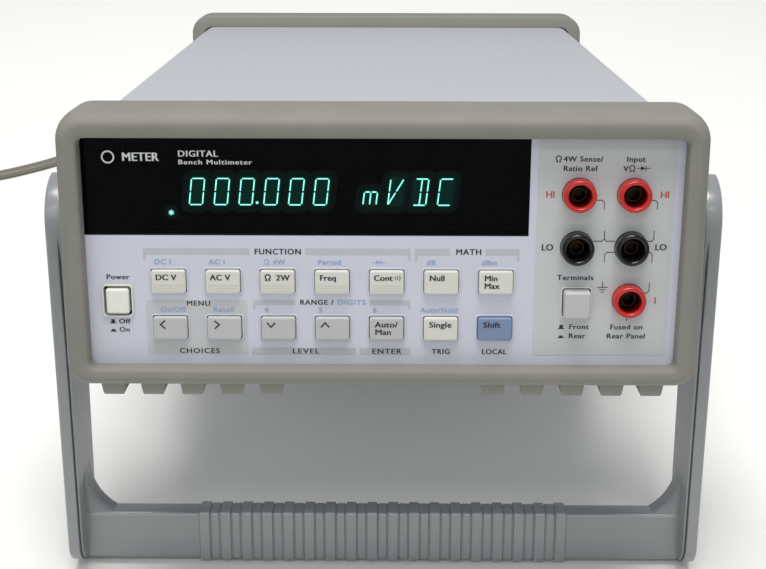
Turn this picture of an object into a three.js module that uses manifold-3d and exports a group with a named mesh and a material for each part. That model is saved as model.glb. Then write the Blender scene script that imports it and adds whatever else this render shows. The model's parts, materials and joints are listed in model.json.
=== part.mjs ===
// Bench multimeter standing tilted back on its carrying handle, with its mains lead put away in a coil.
// Millimetres, +Z up. The origin is on the table, under the middle of the instrument's box.
// The instrument itself is built level, in its own frame: x to the right, y back from the front panel's
// face, z up from the cover's underside. One group then tilts it back by TILT.
import * as THREE from "three";
import { mergeVertices } from "three/addons/utils/BufferGeometryUtils.js";
import Module from "manifold-3d";

const wasm = await Module();
wasm.setup();

// Driving dimensions
const GAP = 0.3; // between pieces that rest against each other
const TILT = THREE.MathUtils.degToRad(16.32);
const TABLE_Y = -185.46; // brings the instrument's box to the middle of the frame
const COVER = { half: 106.3, height: 88.5, radius: 7, wall: 1.2, front: 3.5, back: 346 };
const BUMPER = { half: 113.6, top: 95, bottom: -4.5, bevel: 3.5, play: 0.5, rib: 8, foot: -9.3 };
const BUMPER_CORNERS = { top: 10, low: 8.5 };
const FRONT_BUMPER = { front: -7, back: 20, lip: -GAP };
const REAR_BUMPER = { front: 338, back: 367, lip: 348.3 };
const LIP = { half: 104.4, bottom: 2.8, top: 85.8, radius: 2.6 }; // the bumper's opening around the front panel
const REAR_LIP = { half: 103, bottom: 3.6, top: 85.6 };
const RIBS = [40, 54.3, 68.6, 82.9, 97.2]; // under each bumper, on both sides of the middle
const PANEL = { half: 105.8, bottom: 1, top: 87.5, back: 3, radius: 6.5 };
const REAR_PANEL = { front: 346.4, back: 348 };
const KEY = { width: 12.1, height: 8.4, pitch: 19.28, first: -75.57, out: 2, play: 0.35 };
const KEY_ROWS = { upper: 33.95, lower: 16.7 };
const UPPER_KEYS = ["dc_volts", "ac_volts", "ohms", "freq", "cont", "null", "min_max"];
const LOWER_KEYS = ["left", "right", "down", "up", "auto_man", "single", "shift"];
const WINDOW = { left: -104.5, right: 51.1, bottom: 50.6, top: 86 };
const POWER = { x: -94, z: 26.5, width: 8.2, height: 9.3, out: 1.5, play: 0.9 };
const TERMINALS = { x: 68.8, z: 26.5, width: 9.4, height: 10, out: 5, play: 0.75 };
const SOCKET = { radius: 5.75, mouth: 4.15, contact: 2, out: 5, throat: 10, depth: 20 };
const SOCKET_GRID = { x: 68.2, z: 65.7, pitch: 19.05 };
const HUB = { y: 53, z: 44.25, radius: 17.4, boss: 16, bore: 6.5, stub: 6 };
const ARM = { inner: 121.8, outer: 128, half: 15.5, heel: 11 };
const GRIP = { y: 51.2, halfDepth: 6, halfHeight: 11.2, radius: 2.2, facet: 0.5, fillet: 14, corner: 10 };
const RIB_INSET = { front: 6, back: 1 }; // how far the feet stop short of the bumper's ends
const FOOT_FACET = 0.4;
const LEAD = { radius: 3.5, lift: 3.6 };
const COIL = { x: -292, y: 114.6, inner: 28, outer: 49, height: 14.2 };

// The feet under the rear bumper and the flat under the grip both touch the table.
const heel = REAR_BUMPER.back - RIB_INSET.back;
const lift = heel * Math.sin(TILT) - BUMPER.foot * Math.cos(TILT) - FOOT_FACET;
const gripReach =
  (GRIP.halfDepth - GRIP.radius) * Math.sin(TILT) + (GRIP.halfHeight - GRIP.radius) * Math.cos(TILT) + GRIP.radius;
const gripZ = (gripReach - GRIP.facet - lift + GRIP.y * Math.sin(TILT)) / Math.cos(TILT);

// Colours
const finish = (color, roughness, metalness = 0) =>
  new THREE.MeshStandardMaterial({ color, roughness, metalness });
const bumperRubber = finish(0x94918b, 0.75);
const coverPaint = finish(0xc6c9d0, 0.5);
const panelPlastic = finish(0xc8cbd6, 0.45);
const windowPlastic = finish(0x080a0c, 0.12);
const tubeGlass = finish(0x24302e, 0.1);
const keyPlastic = finish(0xdedcd2, 0.5);
const menuKeyPlastic = finish(0xcdcbc5, 0.5);
const shiftKeyPlastic = finish(0x7d8fb2, 0.5);
const handlePlastic = finish(0x82858a, 0.6);
const darkPlastic = finish(0x24252a, 0.5);
const redPlastic = finish(0xd8342c, 0.4);
const circuitBoard = finish(0x2f6b4b, 0.6);
const matRubber = finish(0x55585c, 0.8);
const sheetMetal = finish(0xa9adb0, 0.35, 0.9);
const brightMetal = finish(0xc9cac8, 0.25, 1);
const copper = finish(0xb06a3a, 0.4, 0.6);
const leadPlastic = finish(0xb9b1a3, 0.55);

// Solids, joined and cut
function solidOf(geometry) {
  const bare = geometry.index ? geometry.toNonIndexed() : geometry.clone();
  bare.deleteAttribute("normal");
  bare.deleteAttribute("uv");
  const merged = mergeVertices(bare, 1e-4);
  const triVerts = new Uint32Array(merged.index.array);
  const vertProperties = new Float32Array(merged.attributes.position.array);
  return new wasm.Manifold(new wasm.Mesh({ numProp: 3, vertProperties, triVerts }));
}

function geometryOf(solid) {
  const mesh = solid.getMesh();
  const positions = new THREE.BufferAttribute(mesh.vertProperties.slice(), 3);
  const geometry = new THREE.BufferGeometry();
  geometry.setAttribute("position", positions);
  geometry.setIndex(new THREE.BufferAttribute(mesh.triVerts.slice(), 1));
  geometry.computeVertexNormals();
  return geometry;
}

const join = (...parts) => geometryOf(parts.map(solidOf).reduce((a, b) => a.add(b)));
const cut = (base, ...tools) => geometryOf(tools.map(solidOf).reduce((a, b) => a.subtract(b), solidOf(base)));
const common = (a, b) => geometryOf(solidOf(a).intersect(solidOf(b)));

// Shapes, in the instrument's frame
function block(x0, x1, y0, y1, z0, z1) {
  const box = new THREE.BoxGeometry(x1 - x0, y1 - y0, z1 - z0);
  return box.translate((x0 + x1) / 2, (y0 + y1) / 2, (z0 + z1) / 2);
}

function outline(half, z0, z1, radius, lowRadius = radius, x = 0) {
  const shape = new THREE.Shape();
  shape.moveTo(x - half + lowRadius, z0);
  shape.absarc(x + half - lowRadius, z0 + lowRadius, lowRadius, -Math.PI / 2, 0);
  shape.absarc(x + half - radius, z1 - radius, radius, 0, Math.PI / 2);
  shape.absarc(x - half + radius, z1 - radius, radius, Math.PI / 2, Math.PI);
  shape.absarc(x - half + lowRadius, z0 + lowRadius, lowRadius, Math.PI, Math.PI * 1.5);
  return shape;
}

function alongY(shape, y0, y1, curveSegments = 4, bevel = 0) {
  const geometry = new THREE.ExtrudeGeometry(shape, {
    depth: y1 - y0 - 2 * bevel,
    curveSegments,
    bevelEnabled: bevel > 0,
    bevelThickness: bevel,
    bevelSize: bevel,
    bevelOffset: -bevel,
    bevelSegments: 2,
  });
  return geometry.rotateX(Math.PI / 2).translate(0, y1 - bevel, 0);
}

function alongX(shape, x0, x1, curveSegments = 6) {
  const geometry = new THREE.ExtrudeGeometry(shape, { depth: x1 - x0, curveSegments, bevelEnabled: false });
  const turn = new THREE.Matrix4().makeBasis(
    new THREE.Vector3(0, 1, 0),
    new THREE.Vector3(0, 0, 1),
    new THREE.Vector3(1, 0, 0),
  );
  return geometry.applyMatrix4(turn).translate(x0, 0, 0);
}

function rodAlongY(radius, y0, y1, x, z, sides = 12, endRadius = radius) {
  const rod = new THREE.CylinderGeometry(endRadius, radius, y1 - y0, sides);
  return rod.translate(x, (y0 + y1) / 2, z);
}

function rodAlongX(radius, x0, x1, y, z, sides = 20) {
  const rod = new THREE.CylinderGeometry(radius, radius, Math.abs(x1 - x0), sides);
  return rod.rotateZ(Math.PI / 2).translate((x0 + x1) / 2, y, z);
}

function turnedAlongY(profile, x, z, sides = 12) {
  const points = profile.map(([radius, y]) => new THREE.Vector2(radius, y));
  return new THREE.LatheGeometry(points, sides).translate(x, 0, z);
}

const mirrored = [-1, 1];
const unit = new THREE.Group();
unit.rotation.x = -TILT;
unit.position.set(0, TABLE_Y, lift);
const part = new THREE.Group();
part.add(unit);

function add(name, geometry, material, group = unit) {
  const mesh = new THREE.Mesh(geometryOf(solidOf(geometry)), material);
  mesh.name = name;
  group.add(mesh);
}

// The table top as a tool that trims what stands on it, in the instrument's frame.
function tableTool() {
  return block(-140, 140, -60, 460, -20, 0).translate(0, 0, -lift).rotateX(TILT);
}

function bumper(y0, y1, openings) {
  const { half, top, bottom, bevel, rib, foot } = BUMPER;
  const body = alongY(outline(half, bottom, top, BUMPER_CORNERS.top, BUMPER_CORNERS.low), y0, y1, 4, bevel);
  const [ribFront, ribBack] = [y0 + RIB_INSET.front, y1 - RIB_INSET.back];
  const ribs = RIBS.flatMap((x) =>
    mirrored.map((side) => block(side * x - rib / 2, side * x + rib / 2, ribFront, ribBack, foot, bottom + 3)),
  );
  return cut(join(body, ...ribs), ...openings);
}

function addBumpers() {
  const play = BUMPER.play;
  const channel = (y0, y1) =>
    alongY(outline(COVER.half + play, -play, COVER.height + play, COVER.radius + play), y0, y1, 3);
  const window = alongY(outline(LIP.half, LIP.bottom, LIP.top, LIP.radius), -20, 5, 2);
  const rearWindow = alongY(outline(REAR_LIP.half, REAR_LIP.bottom, REAR_LIP.top, 5), 340, 380, 2);
  const front = bumper(FRONT_BUMPER.front, FRONT_BUMPER.back, [window, channel(FRONT_BUMPER.lip, 30)]);
  const rear = bumper(REAR_BUMPER.front, REAR_BUMPER.back, [rearWindow, channel(330, REAR_BUMPER.lip), tableTool()]);
  add("front_bumper", front, bumperRubber);
  add("rear_bumper", rear, bumperRubber);
}

function addCover() {
  const { half, height, radius, wall, front, back } = COVER;
  const shape = outline(half, 0, height, radius);
  shape.holes.push(outline(half - wall, wall, height - wall, radius - wall));
  const screwHole = new THREE.CylinderGeometry(2, 2, 6, 8).rotateX(Math.PI / 2).translate(0, 325, 0);
  add("cover_sleeve", cut(alongY(shape, front, back, 3), screwHole), coverPaint);
}

function addCoverScrew() {
  const head = new THREE.CylinderGeometry(3.6, 3.6, 1.6, 10).rotateX(Math.PI / 2).translate(0, 325, -1.1);
  const shank = new THREE.CylinderGeometry(1.4, 1.4, 8, 8).rotateX(Math.PI / 2).translate(0, 325, 3);
  add("cover_screw", join(head, shank), brightMetal);
}

const keyCentres = (z, names) => names.map((name, i) => ({ name, x: KEY.first + KEY.pitch * i, z }));
const keys = [...keyCentres(KEY_ROWS.upper, UPPER_KEYS), ...keyCentres(KEY_ROWS.lower, LOWER_KEYS)];
const { x: gridX, z: gridZ, pitch } = SOCKET_GRID;
const sockets = [
  { name: "sense_hi", x: gridX, z: gridZ, material: redPlastic },
  { name: "input_hi", x: gridX + pitch, z: gridZ, material: redPlastic },
  { name: "sense_lo", x: gridX, z: gridZ - pitch, material: darkPlastic },
  { name: "input_lo", x: gridX + pitch, z: gridZ - pitch, material: darkPlastic },
  { name: "current", x: gridX + pitch, z: gridZ - 2 * pitch, material: redPlastic },
];

// Tools that cut openings through a panel.
function slot(x, z, half, high, y = 0) {
  return block(x - half, x + half, y - 5, y + 8, z - high, z + high);
}

const opening = ({ x, z, width, height, play }) => slot(x, z, width / 2 + play, height / 2 + play);
const hole = (x, z, radius, y = 0) => rodAlongY(radius, y - 5, y + 8, x, z, 12);

function addFrontPanel() {
  const { left, right, bottom, top } = WINDOW;
  const { half, back, radius } = PANEL;
  const plate = alongY(outline(half, PANEL.bottom, PANEL.top, radius), 0, back, 2);
  const openings = [
    block(left - GAP, right + GAP, -5, 8, bottom - GAP, top + GAP),
    opening(POWER),
    opening(TERMINALS),
    ...keys.map(({ x, z }) => opening({ ...KEY, x, z })),
    ...sockets.map(({ x, z }) => hole(x, z, SOCKET.radius + GAP)),
  ];
  add("front_panel", cut(plate, ...openings), panelPlastic);
  add("display_window", block(left, right, 0.2, 2.2, bottom, top), windowPlastic);
}

function addDisplayAndBoards() {
  add("display_tube", block(-92, 44, 6.4, 12.4, 54, 82), tubeGlass);
  add("front_board", block(-87, 52, 14, 15.6, 6, 84), circuitBoard);
  const sheet = block(-84, 50, 9.4, 11.4, 9, 43);
  const pills = keys.map(({ x, z }) => block(x - 4, x + 4, 8, 10, z - 2.5, z + 2.5));
  add("keypad_mat", join(sheet, ...pills), matRubber);
  add("main_board", block(-28, 102, 60, 310, 12, 13.6), circuitBoard);
  const can = block(0, 92, 110, 220, 13.9, 34);
  add("screening_can", cut(can, block(1, 91, 111, 219, 10, 33)), sheetMetal);
}

function addKeys() {
  const { width, height, out } = KEY;
  const greyKeys = ["left", "right", "down", "up", "auto_man"];
  keys.forEach(({ name, x, z }) => {
    const cap = alongY(outline(width / 2, z - height / 2, z + height / 2, 0.9, 0.9, x), -out, 3.7, 1);
    const flange = block(x - 7.4, x + 7.4, 3.5, 5, z - 5.6, z + 5.6);
    const plunger = block(x - 2, x + 2, 4.5, 6, z - 2, z + 2);
    const material = name === "shift" ? shiftKeyPlastic : greyKeys.includes(name) ? menuKeyPlastic : keyPlastic;
    add(`key_${name}`, join(cap, flange, plunger), material);
  });
}

// A push button, the rod behind it and the switch that the rod works.
function addPushSwitch(name, { x, z, width, height, out }, rodEnd, switchSize) {
  const capBack = 8;
  const cap = alongY(outline(width / 2, z - height / 2, z + height / 2, 1, 1, x), -out, capBack, 1);
  add(`${name}_button`, cap, keyPlastic);
  add(`${name}_push_rod`, rodAlongY(1.8, capBack + GAP, rodEnd, x, z, 8), darkPlastic);
  const travel = 4.6;
  const bodyFront = rodEnd + travel;
  const { half, low, high, length } = switchSize;
  const body = block(x - half, x + half, bodyFront, bodyFront + length, z - low, z + high);
  add(`${name}_switch`, body, darkPlastic);
}

function socketProfile(face, inward) {
  const { radius, mouth, contact, throat, depth, out } = SOCKET;
  const at = (distance) => face + inward * distance;
  const profile = [
    [0, at(depth + out)],
    [radius, at(depth + out)],
    [radius, at(0)],
    [mouth, at(0)],
    [mouth, at(throat)],
    [contact, at(throat)],
    [contact, at(depth)],
    [0, at(depth)],
  ];
  return inward > 0 ? profile.reverse() : profile;
}

function addSockets() {
  sockets.forEach(({ name, x, z, material }) => {
    const front = turnedAlongY(socketProfile(-SOCKET.out, 1), x, z);
    const rear = turnedAlongY(socketProfile(REAR_PANEL.back + SOCKET.out, -1), x, z);
    add(`front_socket_${name}`, front, material);
    add(`rear_socket_${name}`, rear, material);
  });
}

// The bail: its side view and its front view cut each other, and a bar with rounded edges is the grip.
function addHandle() {
  const side = new THREE.Shape();
  side.moveTo(HUB.y + HUB.radius, HUB.z);
  side.absarc(HUB.y, HUB.z, HUB.radius, 0, Math.PI);
  side.lineTo(GRIP.y - ARM.half, gripZ);
  side.absellipse(GRIP.y, gripZ, ARM.half, ARM.heel, Math.PI, Math.PI * 2);
  const top = HUB.z + HUB.radius + 1;
  const front = outline(ARM.outer, gripZ - ARM.heel, top, 1, GRIP.corner);
  const inside = outline(ARM.inner, gripZ + GRIP.halfHeight, top + 5, 1, GRIP.fillet);
  const bail = cut(alongY(front, 20, 90, 5), alongY(inside, 19, 91, 5));
  const barEnd = ARM.inner - GRIP.fillet - 2;
  const arms = cut(common(bail, alongX(side, -140, 140, 8)), block(-barEnd, barEnd, 0, 99, gripZ - 20, gripZ + 20));
  const section = outline(GRIP.halfDepth, gripZ - GRIP.halfHeight, gripZ + GRIP.halfHeight, GRIP.radius, GRIP.radius, GRIP.y);
  const bar = alongX(section, -barEnd - 1, barEnd + 1, 4);
  const bosses = mirrored.map((s) => rodAlongX(HUB.boss, s * 113.5, s * (ARM.inner + 1), HUB.y, HUB.z));
  const bores = mirrored.map((s) => rodAlongX(HUB.bore, s * 110, s * 121, HUB.y, HUB.z, 16));
  const trimmed = cut(join(arms, bar, ...bosses), ...bores, tableTool());
  add("handle", trimmed, handlePlastic);
}

function addHandlePivots() {
  mirrored.forEach((s) => {
    const disc = rodAlongX(15, s * 106.6, s * 113, HUB.y, HUB.z);
    const stub = rodAlongX(HUB.stub, s * 112, s * 120, HUB.y, HUB.z, 16);
    add(s < 0 ? "left_handle_pivot" : "right_handle_pivot", join(disc, stub), darkPlastic);
  });
}

function addChassis() {
  const outside = alongY(outline(104.6, 1.6, 70, 0.5, 5.3), 18, 344, 3);
  const inside = alongY(outline(103.4, 2.8, 76, 0.5, 4.1), 17, 345, 3);
  const screwHole = new THREE.CylinderGeometry(2, 2, 6, 8).rotateX(Math.PI / 2).translate(0, 325, 2);
  add("chassis_tray", cut(outside, inside, screwHole), sheetMetal);
}

function addTransformer() {
  const core = block(-84, -34, 268, 312, 6, 64);
  const windings = block(-78, -40, 258, 317.5, 14, 56);
  add("transformer", join(core, windings), copper);
}

const INLET = { x: -78, z: 30, half: 16, bottom: 16, top: 62, front: 318, back: 350 };
const DRAWER = { half: 12, bottom: 46, top: 58, front: 327 };
const BUS = { x: -12, z: 62, half: 28, high: 7.5, slotHalf: 18, slotHigh: 4.5 };
const SERIAL = { x: -12, z: 30, half: 15.5, high: 6.3, slotHalf: 9, slotHigh: 4.4 };
const JACKS = [
  { name: "trigger_jack", x: 34, z: 62 },
  { name: "complete_jack", x: 34, z: 38 },
];
const FUSE = { x: 55, z: 20, radius: 6.6, cap: 6.2, bore: 4.8 };
const EARTH = { x: -48, z: 18 };

function addRearPanel() {
  const { front, back } = REAR_PANEL;
  const plate = alongY(outline(PANEL.half, PANEL.bottom, PANEL.top, PANEL.radius), front, back, 2);
  const play = 0.4;
  const inletMiddle = (INLET.bottom + INLET.top) / 2;
  const inletHigh = (INLET.top - INLET.bottom) / 2;
  const openings = [
    slot(INLET.x, inletMiddle, INLET.half + play, inletHigh + play, front),
    ...[BUS, SERIAL].map(({ x, z, half, high }) => slot(x, z, half + play, high + play, front)),
    ...JACKS.map(({ x, z }) => hole(x, z, 5.2 + play, front)),
    hole(FUSE.x, FUSE.z, FUSE.radius + play, front),
    hole(EARTH.x, EARTH.z, 2.4, front),
    ...sockets.map(({ x, z }) => hole(x, z, SOCKET.radius + GAP, front)),
  ];
  add("rear_panel", cut(plate, ...openings), sheetMetal);
}

const PINS = [
  { dx: -7, dz: -2 },
  { dx: 0, dz: 2 },
  { dx: 7, dz: -2 },
];

function pinBlocks(half, high, y0, y1) {
  return PINS.map(({ dx, dz }) =>
    block(INLET.x + dx - half, INLET.x + dx + half, y0, y1, INLET.z + dz - high, INLET.z + dz + high),
  );
}

function addMainsInlet() {
  const { x, z, half, bottom, top, front, back } = INLET;
  const body = block(x - half, x + half, front, back, bottom, top);
  const recess = block(x - 12.3, x + 12.3, 333.5, back + 1, z - 8.6, z + 8.6);
  const pocket = block(x - DRAWER.half - 0.4, x + DRAWER.half + 0.4, 326, back + 1, DRAWER.bottom - 0.4, DRAWER.top + 0.4);
  const housing = cut(body, recess, pocket);
  add("mains_inlet", join(housing, ...pinBlocks(1, 2, 333, 345)), darkPlastic);
  const drawer = block(x - DRAWER.half, x + DRAWER.half, DRAWER.front, back + 1, DRAWER.bottom, DRAWER.top);
  const fuseHollow = block(x - 3.2, x + 3.2, DRAWER.front - 1, back - 3, DRAWER.bottom + 3, DRAWER.top - 3);
  add("line_fuse_drawer", cut(drawer, fuseHollow), darkPlastic);
}

function addCurrentFuse() {
  const { x, z, radius, cap, bore } = FUSE;
  const holder = [
    [0, 318],
    [0, 314],
    [radius, 314],
    [radius, 349],
    [bore, 349],
    [bore, 318],
  ];
  const front = [...holder.slice(1), holder[0]];
  add("current_fuse_holder", turnedAlongY(front, x, z, 14), darkPlastic);
  const head = rodAlongY(cap, 349.4, 355, x, z, 14);
  const stem = rodAlongY(bore - 0.4, 330, 350, x, z, 12);
  const slot = block(x - 5, x + 5, 353.8, 356, z - 0.6, z + 0.6);
  add("current_fuse_cap", cut(join(head, stem), slot), darkPlastic);
}

function connector({ x, z, half, high, slotHalf, slotHigh }) {
  const body = block(x - half, x + half, 334, 353, z - high, z + high);
  const slot = block(x - slotHalf, x + slotHalf, 346, 354, z - slotHigh, z + slotHigh);
  return cut(body, slot);
}

function addJacks() {
  const profile = [
    [0, 334],
    [5.2, 334],
    [5.2, 349],
    [4.9, 349],
    [4.9, 361],
    [4.1, 361],
    [4.1, 351],
    [0, 351],
  ];
  JACKS.forEach(({ name, x, z }) => add(name, turnedAlongY(profile, x, z, 16), brightMetal));
}

function addGroundScrew() {
  const shank = rodAlongY(2, 340, 349, EARTH.x, EARTH.z, 8);
  const head = rodAlongY(4.5, 348.3, 351, EARTH.x, EARTH.z, 12);
  add("ground_screw", join(shank, head), brightMetal);
}

// The plug-in end of the mains lead, with its tapered boot.
function addLeadConnector() {
  const { x, z } = INLET;
  const nose = block(x - 11.9, x + 11.9, 334.2, 351, z - 8.2, z + 8.2);
  const grip = alongY(outline(13.2, z - 9.6, z + 9.6, 3, 3, x), 350.4, 374, 2);
  const boot = rodAlongY(7, 373, 400, x, z, 10, 4.2);
  add("lead_connector", cut(join(nose, grip, boot), ...pinBlocks(1.4, 2.4, 333, 346)), leadPlastic);
}

// Where the lead runs: down from its boot to the table, round behind the instrument and out at the left.
const LEAD_ROUTE = [
  [-78, 207.3, 27.6],
  [-78.5, 219, 24],
  [-83, 233.5, 18.2],
  [-94, 246, 12.5],
  [-110, 253, 8],
  [-129, 252.5, 5],
  [-148, 244, 3.8],
  [-166, 229.5, LEAD.lift],
  [-186, 208.5, LEAD.lift],
  [-208, 188.6, LEAD.lift],
  [-224, 177.6, LEAD.lift],
  [-239, 168.6, LEAD.lift],
  [-252, 163.3, LEAD.lift],
  [-265, 161, LEAD.lift],
];

function addLead() {
  const route = new THREE.CatmullRomCurve3(LEAD_ROUTE.map((p) => new THREE.Vector3(...p)));
  const section = new THREE.Shape();
  section.absarc(0, 0, LEAD.radius, 0, Math.PI * 2);
  const tube = new THREE.ExtrudeGeometry(section, { steps: 22, curveSegments: 4, extrudePath: route });
  add("mains_lead", tube, leadPlastic, part);
  const { x, y, inner, outer, height } = COIL;
  const profile = [
    new THREE.Vector2(inner, 0),
    new THREE.Vector2(outer, 0),
    new THREE.Vector2(outer, height),
    new THREE.Vector2(inner, height),
    new THREE.Vector2(inner, 0),
  ];
  const coil = new THREE.LatheGeometry(profile, 28).rotateX(Math.PI / 2).translate(x, y, 0);
  add("lead_coil", coil, leadPlastic, part);
}

// The mains plug lies beside the coil, its blades pointing to the front.
function addPlug() {
  const x = COIL.x - 45.5;
  const z = 11.2;
  const boot = rodAlongY(7, 62, 86, x, z, 10, 4.4);
  const body = alongY(outline(13, 0.1, 22.3, 5, 5, x), 29, 63, 2);
  const blades = mirrored.map((s) => block(x + s * 6.35 - 0.75, x + s * 6.35 + 0.75, 12, 31, z - 0.7, z + 5.7));
  const earth = rodAlongY(2.4, 9, 31, x, z - 7, 8);
  add("mains_plug", join(boot, body, ...blades, earth), leadPlastic, part);
}

addBumpers();
addCover();
addCoverScrew();
addFrontPanel();
addDisplayAndBoards();
addKeys();
addPushSwitch("power", POWER, 226, { half: 7, low: 9, high: 9, length: 24 });
addPushSwitch("terminals", TERMINALS, 30, { half: 14, low: 11, high: 9, length: 46 });
addSockets();
addHandle();
addHandlePivots();
addChassis();
addTransformer();
addRearPanel();
addMainsInlet();
addCurrentFuse();
add("bus_connector", connector(BUS), darkPlastic);
add("serial_connector", connector(SERIAL), sheetMetal);
addJacks();
addGroundScrew();
addLeadConnector();
addLead();
addPlug();

export default part;
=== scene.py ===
import json
import math

import bmesh
import bpy
from mathutils import Matrix, Vector


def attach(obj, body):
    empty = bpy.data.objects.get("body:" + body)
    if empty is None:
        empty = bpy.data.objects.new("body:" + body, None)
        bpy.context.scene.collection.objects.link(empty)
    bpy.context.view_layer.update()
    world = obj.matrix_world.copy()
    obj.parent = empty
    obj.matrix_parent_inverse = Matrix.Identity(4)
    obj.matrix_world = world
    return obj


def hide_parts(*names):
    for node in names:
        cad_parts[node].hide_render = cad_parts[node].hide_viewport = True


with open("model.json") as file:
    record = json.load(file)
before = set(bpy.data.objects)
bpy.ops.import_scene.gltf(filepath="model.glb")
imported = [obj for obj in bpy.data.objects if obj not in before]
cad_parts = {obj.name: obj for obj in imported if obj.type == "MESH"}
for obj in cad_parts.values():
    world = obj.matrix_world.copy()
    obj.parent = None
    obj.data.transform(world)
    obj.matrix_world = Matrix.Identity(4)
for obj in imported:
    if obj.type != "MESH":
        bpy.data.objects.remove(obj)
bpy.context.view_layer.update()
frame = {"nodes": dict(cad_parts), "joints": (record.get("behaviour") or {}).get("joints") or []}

# A bench multimeter that stands tilted back on its carrying handle.
# Shapes are written in millimetres in the instrument's own level frame: x to the right, y back from the
# front panel's face, z up from the cover's underside. UNIT carries them into the shared frame, where the
# instrument stands tilted. The lead is written in millimetres of the shared frame, and TABLE carries it.
MM = 0.001
JOINTS = {joint["name"]: joint for joint in frame["joints"]}
INWARD = Vector(JOINTS["power_press"]["axis"])
TILT = math.atan2(-INWARD.z, INWARD.y)
HUB_Y, HUB_Z = 53.0, 44.25
TURN = Matrix.Rotation(-TILT, 4, "X")
HINGE = Vector(JOINTS["handle_swing"]["pos_m"])
UNIT = Matrix.Translation(HINGE - TURN @ (Vector((0, HUB_Y, HUB_Z)) * MM)) @ TURN @ Matrix.Scale(MM, 4)
TABLE = Matrix.Scale(MM, 4)
SIDES = (-1, 1)

# The instrument's dimensions
COVER = {"half": 106.3, "top": 88.5, "radius": 7.0, "wall": 1.2, "front": 3.5, "back": 346.0}
PANEL = {"half": 105.8, "bottom": 1.0, "top": 87.5, "back": 3.0}
WINDOW = {"left": -104.95, "right": 51.1, "bottom": 50.6, "top": 86.0}
LIP = {"half": 104.4, "bottom": 2.8, "top": 85.8, "radius": 2.6}
REAR_LIP = {"half": 103.0, "bottom": 3.6, "top": 85.6, "radius": 3.5}
KEY_HALF, KEY_HIGH, KEY_OUT = 6.05, 4.2, 2.0
KEY_PITCH, FIRST_KEY = 19.28, -75.57
UPPER_ROW, LOWER_ROW = 33.95, 16.7
POWER = {"x": -94.0, "z": 26.5, "half": 4.1, "high": 4.65, "out": 1.5, "play": 0.8, "rim": 0.7}
TERMINALS = {"x": 68.8, "z": 26.5, "half": 4.65, "high": 4.9, "out": 5.0, "play": 0.35, "rim": 0.5}
SOCKET_X, SOCKET_Z, SOCKET_PITCH, SOCKET_RADIUS = 68.2, 65.7, 19.05, 5.75
SOCKETS = {
    "sense_hi": (SOCKET_X, SOCKET_Z, "red"),
    "input_hi": (SOCKET_X + SOCKET_PITCH, SOCKET_Z, "red"),
    "sense_lo": (SOCKET_X, SOCKET_Z - SOCKET_PITCH, "black"),
    "input_lo": (SOCKET_X + SOCKET_PITCH, SOCKET_Z - SOCKET_PITCH, "black"),
    "current": (SOCKET_X + SOCKET_PITCH, SOCKET_Z - 2 * SOCKET_PITCH, "red"),
}
ARM_INNER, ARM_HALF, ARM_HEEL = 121.8, 15.4, 10.9
ARM_OUTER, ARM_OUTER_LOW = 127.95, 127.3
HUB_RADIUS = 17.35
GRIP_Y, GRIP_DEPTH, GRIP_HEIGHT, GRIP_RADIUS = 51.2, 6.0, 11.2, 2.2
# How much of the grip's lowest edge is flattened by the table
GRIP_FLAT = 0.5
BUMPER = {"half": 113.5, "bottom": -4.45, "top": 94.95, "top_radius": 10, "low_radius": 8.5}
# A point y of the front bumper is at BUMPER_MIRROR - y in the rear one
BUMPER_MIRROR = 360

# The camera stands in the instrument's frame, and the lights in metres round the object's origin
CAMERA_LENS, CAMERA_PLACE = 64.0, (2.8, -462.5, 169.5)
CAMERA_DOWN, CAMERA_YAW = 16.47, 0.36
# (name, place, target, size, power, colour)
LIGHTS = [
    ("overhead", (-0.05, -0.1, 1.5), (0, 0, 0.1), (0.9, 0.5), 18, (1.0, 0.985, 0.96)),
    ("lamp", (0.0, -0.95, 1.35), (0, -0.16, 0.02), (1.1, 0.16), 2.4, (1.0, 0.99, 0.97)),
    ("front", (-0.65, -1.3, 1.15), (0, -0.1, 0.05), (1.2, 0.6), 2.1, (0.95, 0.97, 1.0)),
]
FLOOR_SIZE, FLOOR_COLOUR = 6.0, (250, 250, 246)
WORLD_COLOUR, WORLD_STRENGTH = (0.93, 0.95, 1.0, 1), 0.36


# --- materials ---


def linear(colour):
    """An sRGB colour from 0 to 255 as a linear one."""
    shares = [c / 255 for c in colour]
    return [s / 12.92 if s <= 0.04045 else ((s + 0.055) / 1.055) ** 2.4 for s in shares] + [1.0]


def tinted(colour, share):
    """A linear colour made darker or paler."""
    return [min(1.0, c * share) for c in colour[:3]] + [1.0]


def new_material(name, roughness, metallic=0.0):
    material = bpy.data.materials.new(name)
    material.use_nodes = True
    shader = material.node_tree.nodes["Principled BSDF"]
    shader.inputs["Roughness"].default_value = roughness
    shader.inputs["Metallic"].default_value = metallic
    return material, material.node_tree, shader


def noise(tree, scale, detail, stretch=(1, 1, 1)):
    """Noise in the object's own metres, turned into the instrument's level frame."""
    place = tree.nodes.new("ShaderNodeTexCoord")
    turn = tree.nodes.new("ShaderNodeMapping")
    turn.inputs["Rotation"].default_value = (TILT, 0, 0)
    turn.inputs["Scale"].default_value = stretch
    texture = tree.nodes.new("ShaderNodeTexNoise")
    texture.inputs["Scale"].default_value = scale
    texture.inputs["Detail"].default_value = detail
    tree.links.new(place.outputs["Object"], turn.inputs["Vector"])
    tree.links.new(turn.outputs["Vector"], texture.inputs["Vector"])
    return texture.outputs["Fac"]


def ramp(tree, factor, low, high, colours):
    """A colour that runs between two colours as factor goes from low to high."""
    node = tree.nodes.new("ShaderNodeValToRGB")
    node.color_ramp.elements[0].position = low
    node.color_ramp.elements[1].position = high
    node.color_ramp.elements[0].color = colours[0]
    node.color_ramp.elements[1].color = colours[1]
    tree.links.new(factor, node.inputs["Fac"])
    return node.outputs["Color"]


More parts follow.
